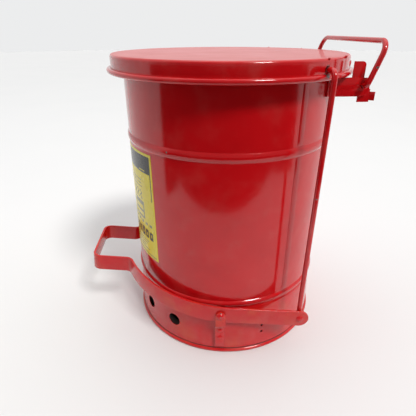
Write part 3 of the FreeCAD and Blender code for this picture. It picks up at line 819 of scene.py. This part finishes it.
def labelInk(angle, z, regions):
    s = labelSizes
    ink = "yellow"
    for left, right, low, high, colour in regions:
        if left <= angle <= right and low <= z <= high:
            ink = colour
    # two plain drums with wavy fumes, drawn in grey
    x = abs(math.radians(angle) * s["radius"]) - s["drumX"]
    y = z - s["drumZ"]
    half, low, high = s["drum"]
    body = abs(x) < half and low < y < high
    half, low, high = s["hollow"]
    middle, thick = s["hoop"]
    hollow = abs(x) < half and low < y < high and abs(y - middle) > thick
    if body and not hollow:
        ink = "grey"
    sway = s["fumeSway"] * math.sin(y * s["fumeWaves"])
    for centre in s["fumes"]:
        if s["fumeLow"] < y < s["fumeHigh"] and abs(x - centre - sway) < s["fumeHalf"]:
            ink = "grey"
    return ink


def makeLabel():
    s = labelSizes
    regions = labelRegions()
    inks = list(inkColours)
    wide, tall = 2 * s["half"], s["high"] - s["low"]
    angles = {round(-s["half"] + wide * i / s["columns"], 4) for i in range(s["columns"] + 1)}
    angles = sorted(angles | {round(v, 4) for region in regions for v in region[:2]})
    levels = {round(s["low"] + tall * i / s["rows"], 4) for i in range(s["rows"] + 1)}
    levels = sorted(levels | {round(v, 4) for region in regions for v in region[2:4]})
    bm = bmesh.new()
    grid = [[bm.verts.new(onWall(s["radius"], a, z) * mm) for a in angles] for z in levels]
    for j in range(len(levels) - 1):
        for i in range(len(angles) - 1):
            if angles[i + 1] - angles[i] < 1e-3 or levels[j + 1] - levels[j] < 1e-3:
                continue
            face = bm.faces.new((grid[j][i], grid[j][i + 1], grid[j + 1][i + 1], grid[j + 1][i]))
            face.smooth = True
            ink = labelInk((angles[i] + angles[i + 1]) / 2, (levels[j] + levels[j + 1]) / 2, regions)
            face.material_index = inks.index(ink)
    bmesh.ops.remove_doubles(bm, verts=bm.verts, dist=0.001 * mm)
    films = [vinyl(ink + "Vinyl", seed, fresh, faded) for ink, (fresh, faded, seed) in inkColours.items()]
    label = newObject("frontLabel", meshOf(bm, "frontLabel", *films))
    film = label.modifiers.new("film", "SOLIDIFY")
    film.thickness = s["lift"] * mm
    film.offset = -1
    return label


settle(makeLabel(), "can", ["front_label"])
print("label made")


lidSizes = {
    "topZ": 403.5, "radius": 157.3, "footZ": 381.1, "edgeR": 3.5, "curlR": 3.2, "sheet": 0.8,
    "segments": 288, "ripple": 0.12, "rippleSize": 55.0,
    "holeY": 93.8, "holeZ": 391.6, "holeR": 4.3, "cutFrom": 105, "cutTo": 150,
    "creaseAt": 141, "creaseZ": (386, 402, 3), "creaseReach": 3.2, "creaseDeep": 0.5,
    # shallow dents in the top: x, y, reach, depth
    "dents": [(70, -60, 14, 0.35), (-40, 75, 20, 0.5)],
}


def lidLoop():  # from the middle of the top out and round the rim, then back along the inside
    s = lidSizes
    inner = s["curlR"] - s["sheet"]
    curlX = s["radius"] + inner
    curlZ = s["footZ"] + s["curlR"]
    top = [(0.0, s["topZ"])]
    top += run(top[-1], (s["radius"] - s["edgeR"] - 6.0, s["topZ"]), 7.5)
    top += run(top[-1], (s["radius"] - s["edgeR"], s["topZ"]), 2.0)
    top += arc((s["radius"] - s["edgeR"], s["topZ"] - s["edgeR"]), s["edgeR"], 90, 0, 9)[1:]
    top += run(top[-1], (s["radius"], curlZ + 2.2), 2.4)
    top += [(s["radius"] + 0.10, curlZ + 1.6), (s["radius"] + 0.5, curlZ + 1.5)]
    # the rim's roll, seen from outside: up and over from the crease, then under to the skirt's back
    top += arc((curlX, curlZ), s["curlR"], 150, -90, 24)
    under = arc((curlX, curlZ), s["curlR"], -90, -175, 8)[1:]
    skirtIn = s["radius"] - s["sheet"]
    inside = run(under[-1], (skirtIn, s["topZ"] - s["edgeR"]), 5.0)
    small = s["edgeR"] - s["sheet"]
    inside += arc((s["radius"] - s["edgeR"], s["topZ"] - s["edgeR"]), small, 0, 90, 6)[1:]
    inside += run(inside[-1], (0.0, s["topZ"] - s["sheet"]), 12.0)
    return top + under, inside


lidPaint = redPaint("lidPaint", 57.0, chips=[
    ((125.8, 94.0, 391.2), 5.6), ((134.0, 93.0, 386.3), 2.6), ((-125.8, 94.0, 391.0), 5.2),
    ((150.0, 47.0, 403.5), 0.9)], scuffs=0.5, dust=0.10, dustyAbove=402.4)
outer, inside = lidLoop()
lidPan = spun("lidPan", outer + inside, len(outer), lidSizes, lidPaint, innerPaint, 21.0, 1.0)
s = lidSizes
for side in (-1, 1):
    drill(lidPan, (side * s["cutFrom"], s["holeY"], s["holeZ"]),
          (side * s["cutTo"], s["holeY"], s["holeZ"]), s["holeR"], 36)
for level in range(*s["creaseZ"]):  # an upright crease in the skirt near the hinge
    spot = onWall(s["radius"], s["creaseAt"], level)
    press(lidPan.data, spot, s["creaseReach"], s["creaseDeep"], (-spot.x, -spot.y, 0))
for x, y, reach, depth in s["dents"]:
    press(lidPan.data, (x, y, s["topZ"]), reach, depth, (0, 0, -1))
tidy(lidPan.data)
settle(lidPan, "lid", ["lid_pan"])
print("lid", len(lidPan.data.polygons))


heads = headsRecipe()


def domes(name, body, nodes, spots, size, paint, spread=0.03, seed=1):  # a head at each (place, direction)
    places = [place for place, outward in spots]
    outwards = [Vector(outward).normalized() for place, outward in spots]
    base = polyline(places, values={"outward": ("FLOAT_VECTOR", outwards)})
    radius, height = size
    piece = heads.make(name, base, {
        "Head radius": radius * mm, "Head height": height * mm, "Spread": spread, "Seed": seed,
        "Paint": paint})
    tidy(piece.data, 50)
    settle(piece, body, nodes)


plainPaint = redPaint("platePaint", 71.0, scuffs=0.5, dust=0.08)
edgePaint = redPaint("plateEdgePaint", 73.0, chips=[
    ((93.6, 162, 353), 3.0), ((92, 150, 352), 2.4), ((92, 140.5, 396), 2.0), ((-92, 160, 353), 3.0)],
    scuffs=0.9, dust=0.12)
for side in ("left", "right"):
    settle(copyOf(side + "Ear", side + "_hinge_ear", [plainPaint, edgePaint], 0.35), "can",
           [side + "_hinge_ear"])
settle(copyOf("hingeLeaf", "lid_hinge_leaf", [plainPaint, edgePaint], 0.3), "lid", ["lid_hinge_leaf"])
# its orange patches are painted reflection
bracketPaint = redPaint("bracketPaint", 83.0, chips=[
    ((157.0, -19.5, 84.3), 1.6), ((-157.0, -19.5, 84.0), 1.2)], scuffs=0.6, dust=0.12, orangeReflection=0.3)
for side in ("left", "right"):
    settle(copyOf(side + "Bracket", side + "_pivot_bracket", [bracketPaint, bracketPaint], 0.4), "can",
           [side + "_pivot_bracket"])
print("plates made")

rivetSizes = {  # heads: radius, height; places: radius or x, degrees from the front, height
    "ear": (3.6, 1.5), "earR": 145.0, "earAngles": (146.5, 152.5), "earZ": 369.6,
    "bracket": (3.6, 1.5), "bracketX": 147.1, "bracketY": -19.5, "bracketZ": (30.5, 43.5),
    "leaf": (3.6, 1.4), "leafR": 157.3, "leafAngles": (8.0, 26.0), "leafZ": 393.5,
    "nib": (1.3, 1.6), "nibR": 156.6, "nibAngles": (127.0, 142.5, 216.0, 238.5), "nibZ": 402.6,
    "nibRise": 0.9,
}
s = rivetSizes
earSpots, bracketSpots, leafSpots = [], [], []
for side in (-1, 1):
    for angle in s["earAngles"]:
        earSpots.append((onWall(s["earR"], side * angle, s["earZ"]), onWall(1, side * angle, 0)))
    for z in s["bracketZ"]:
        bracketSpots.append(((side * s["bracketX"], s["bracketY"], z), (side, 0, 0)))
    for angle in s["leafAngles"]:
        angle = 180 + side * angle
        leafSpots.append((onWall(s["leafR"], angle, s["leafZ"]), onWall(1, angle, 0)))
domes("earRivets", "can", ["left_ear_rivets", "right_ear_rivets"], earSpots, s["ear"], plainPaint)
domes("bracketRivets", "can", ["left_bracket_rivets", "right_bracket_rivets"], bracketSpots, s["bracket"],
      bracketPaint, seed=2)
domes("leafRivets", "lid", ["leaf_rivets"], leafSpots, s["leaf"], plainPaint, seed=3)
nibs = [(onWall(s["nibR"], angle, s["nibZ"]), onWall(1, angle, s["nibRise"])) for angle in s["nibAngles"]]
domes("paintNibs", "lid", [], nibs, s["nib"], lidPaint, 0.2, 5)

pedalSizes = {
    "y": -19.5, "z": 78.5, "slope": 6.3, "thick": 3.2, "tall": 25.4, "armX": 153.6,
    "wrapR": 165.0, "wrapS": -16.0, "flareR": 12.0, "cornerR": 12.0, "footS": 196.9, "footX": 49.0,
    "rodS": 112.0, "corner": 0.7, "tipSteps": 12, "tipLeast": 0.045,
    # heads on the bar: how far out, then radius and height
    "pivotX": 156.6, "pivotHead": (5.4, 2.7), "rodPinX": 153.6, "rodPinHead": (5.2, 2.4),
}


def pedalPlan():  # the bar's middle line in plan: (x, s) from the rear end of the +X arm to the -X one
    s = pedalSizes
    half = s["thick"] / 2
    armX, wrapR = s["armX"] - half, s["wrapR"] - half
    footX, footS = s["footX"] - half, s["footS"] - half
    wrapX = armX - wrapR
    flareX = footX + s["flareR"]
    reach = wrapR + s["flareR"]
    flareS = s["wrapS"] + math.sqrt(reach ** 2 - (flareX - wrapX) ** 2)
    turn = math.degrees(math.atan2(flareS - s["wrapS"], flareX - wrapX))
    path = [(armX, -s["rodS"])]
    path += run(path[-1], (armX, s["wrapS"]), 6.0)
    path += arc((wrapX, s["wrapS"]), wrapR, 0, turn, 52)[1:]
    path += arc((flareX, flareS), s["flareR"], 180 + turn, 180, 14)[1:]
    path += run(path[-1], (footX, footS - s["cornerR"]), 4.0)
    path += arc((footX - s["cornerR"], footS - s["cornerR"]), s["cornerR"], 0, 90, 14)[1:]
    path += run(path[-1], (0.0, footS), 5.0)
    return path + [(-x, y) for x, y in reversed(path[:-1])]


def barSection(tall, thick, corner):  # the bar's upright section: (across, up), rounded corners
    found = []
    for sx, sy, start in ((1, 1, 0), (-1, 1, 90), (-1, -1, 180), (1, -1, 270)):
        for i in range(4):
            a = math.radians(start + 30 * i)
            found.append((sx * (thick / 2 - corner) + corner * math.cos(a),
                          sy * (tall / 2 - corner) + corner * math.sin(a)))
    return found


def makePedal(paint, edge):
    s = pedalSizes
    plan = pedalPlan()
    stations = []
    half = s["tall"] / 2
    for i, (x, y) in enumerate(plan):
        before, after = plan[max(i - 1, 0)], plan[min(i + 1, len(plan) - 1)]
        along = Vector((after[0] - before[0], after[1] - before[1])).normalized()
        stations.append((Vector((x, y)), along, half))
    # the bar's ends are rounded about the rod pins
    for end, sign in ((0, -1), (-1, 1)):
        spot, along, _ = stations[end]
        extra = []
        for i in range(1, s["tipSteps"] + 1):
            a = math.radians(90 * i / s["tipSteps"])
            tall = half * max(math.cos(a), s["tipLeast"])
            extra.append((spot + along * sign * half * math.sin(a), along, tall))
        stations = list(reversed(extra)) + stations if sign < 0 else stations + extra
    bm = bmesh.new()
    rings = []
    tip = Matrix.Rotation(math.radians(-s["slope"]), 3, "X")
    pivot = Vector((0, s["y"], s["z"]))
    for spot, along, tall in stations:
        beside = Vector((along.y, -along.x))
        ring = []
        for across, up in barSection(2 * tall, s["thick"], min(s["corner"], tall * 0.8)):
            x, y = spot.x + beside.x * across, spot.y + beside.y * across
            flat = Vector((x, s["y"] - y, s["z"] + up))
            ring.append(bm.verts.new((tip @ (flat - pivot) + pivot) * mm))
        rings.append(ring)
    for ring, following in zip(rings, rings[1:]):
        for j in range(len(ring)):
            k = (j + 1) % len(ring)
            face = bm.faces.new((ring[j], ring[k], following[k], following[j]))
            face.material_index = 0 if j % 4 == 3 else 1  # the rounded corners wear more than the flats
    bm.faces.new(rings[0])
    bm.faces.new(list(reversed(rings[-1])))
    mesh = meshOf(bm, "pedal", paint, edge)
    tidy(mesh, 60)
    return newObject("pedal", mesh)


# its orange patches are painted reflection
pedalPaint = redPaint("pedalPaint", 91.0, scuffs=0.7, dust=0.10, orangeReflection=0.35, gloss=0.20)
pedalEdge = redPaint("pedalEdgePaint", 93.0, chips=[((20, -216, 110), 3.0), ((-31, -215, 111), 2.5)],
                     scuffs=1.0, dust=0.16, gloss=0.20)
settle(makePedal(pedalPaint, pedalEdge), "pedal", ["pedal_yoke"])
print("pedal made")

# pins: the pedal's pivots on the can, the rod pins on the pedal
s = pedalSizes
tip = math.radians(s["slope"])
rodPinY = s["y"] + s["rodS"] * math.cos(tip)
rodPinZ = s["z"] - s["rodS"] * math.sin(tip)
pinPaint = redPaint("pinPaint", 97.0, scuffs=0.8, dust=0.12, chips=[((160.0, -19.5, 80.0), 1.4)])
pivotSpots = [((side * s["pivotX"], s["y"], s["z"]), (side, 0, 0)) for side in (-1, 1)]
rodPinSpots = [((side * s["rodPinX"], rodPinY, rodPinZ), (side, 0, 0)) for side in (-1, 1)]
domes("pivotHeads", "can", [], pivotSpots, s["pivotHead"], pinPaint, seed=7)
domes("rodPinHeads", "pedal", [], rodPinSpots, s["rodPinHead"], pinPaint, seed=8)
zinc = bareSteel("zincSteel", 101.0)
pins = (("PivotShank", "_pivot_rivet", "can"), ("Washer", "_pivot_washer", "can"),
        ("RodPin", "_rod_pin", "pedal"))
for side in ("left", "right"):
    for part, node, body in pins:
        settle(copyOf(side + part, side + node, [zinc], 0.2), body, [side + node])
print("pins made")

wires = wireRecipe()
wireSizes = {
    "radius": 3.175, "sides": 24, "bendSteps": 12,
    "ends": [(0.35, 0.93), (0.6, 0.72)],  # past a cut end: how far out, and what share of the full radius
}
bailSizes = {
    "x": 104.0, "y": 150.6, "z": 371.6, "length": 50.0, "lean": 18.5, "endX": 86.4, "bends": (5, 15, 15, 5),
}
rodSizes = {"x": 146.625, "hookX": 119.0, "topY": 94.7, "topZ": 392.0, "bend": 8.0, "past": 7.0}


def roundedPath(points, radii, spacing=6.0):  # points with each inner corner turned into an arc
    def straight(start, end):
        steps = max(1, round((end - start).length / spacing))
        return [start.lerp(end, k / steps) for k in range(1, steps + 1)]

    found = [points[0]]
    for before, corner, after, radius in zip(points, points[1:], points[2:], radii):
        back = (before - corner).normalized()
        ahead = (after - corner).normalized()
        half = back.angle(ahead) / 2
        reach = radius / math.tan(half)
        centre = corner + (back + ahead).normalized() * (radius / math.sin(half))
        first, last = corner + back * reach, corner + ahead * reach
        found += straight(found[-1], first)
        a, b = (first - centre).normalized(), (last - centre).normalized()
        for k in range(1, wireSizes["bendSteps"] + 1):
            found.append(centre + a.slerp(b, k / wireSizes["bendSteps"]) * radius)
    return found + straight(found[-1], points[-1])


def makeWire(name, path, paint):
    s = wireSizes
    first = (path[0] - path[1]).normalized()
    last = (path[-1] - path[-2]).normalized()
    start = [path[0] + first * past for past, share in reversed(s["ends"])]
    end = [path[-1] + last * past for past, share in s["ends"]]
    shares = [share for past, share in s["ends"]]
    thin = shares[::-1] + [1.0] * len(path) + shares
    base = polyline(start + path + end, values={"thin": ("FLOAT", thin)})
    piece = wires.make(name, base, {
        "Bar radius": s["radius"] * mm, "Sides": s["sides"], "Paint": paint})
    tidy(piece.data, 50)
    return piece


s = bailSizes
lean = math.radians(s["lean"])
topY = s["y"] + s["length"] * math.sin(lean)
topZ = s["z"] + s["length"] * math.cos(lean)
bailPath = roundedPath([Vector(p) for p in (
    (-s["endX"], s["y"], s["z"]), (-s["x"], s["y"], s["z"]), (-s["x"], topY, topZ),
    (s["x"], topY, topZ), (s["x"], s["y"], s["z"]), (s["endX"], s["y"], s["z"]))], s["bends"])
bailPaint = redPaint("bailPaint", 103.0, chips=[
    ((107.0, 157.5, 392.0), 1.5), ((-107.0, 158.0, 388.0), 1.4), ((98.0, 148.0, 369.5), 2.6),
    ((-98.0, 148.0, 370), 2.6), ((30.0, 166.0, 422.0), 1.6)], scuffs=0.9, dust=0.10)
settle(makeWire("bailHandle", bailPath, bailPaint), "bail", ["bail_handle"])

s = rodSizes
rodPaint = redPaint("rodPaint", 107.0, chips=[
    ((128.0, 94.7, 392.0), 3.6), ((-128.0, 94.7, 392.0), 3.4), ((149.0, 93.0, 250.0), 1.3),
    ((147.5, 92.0, 74.0), 3.0), ((-147.5, 92.0, 74.0), 3.0)], scuffs=0.9, dust=0.10)
for side, sign in (("left", -1), ("right", 1)):
    down = Vector((0, rodPinY - s["topY"], rodPinZ - s["topZ"])).normalized()
    foot = Vector((sign * s["x"], rodPinY, rodPinZ)) + Vector((0, down.y, down.z)) * s["past"]
    path = roundedPath([Vector((sign * s["hookX"], s["topY"], s["topZ"])),
                        Vector((sign * s["x"], s["topY"], s["topZ"])), foot], (s["bend"],), 9.0)
    settle(makeWire(side + "Rod", path, rodPaint), side + "_rod", [side + "_link_rod"])
print("wires made")
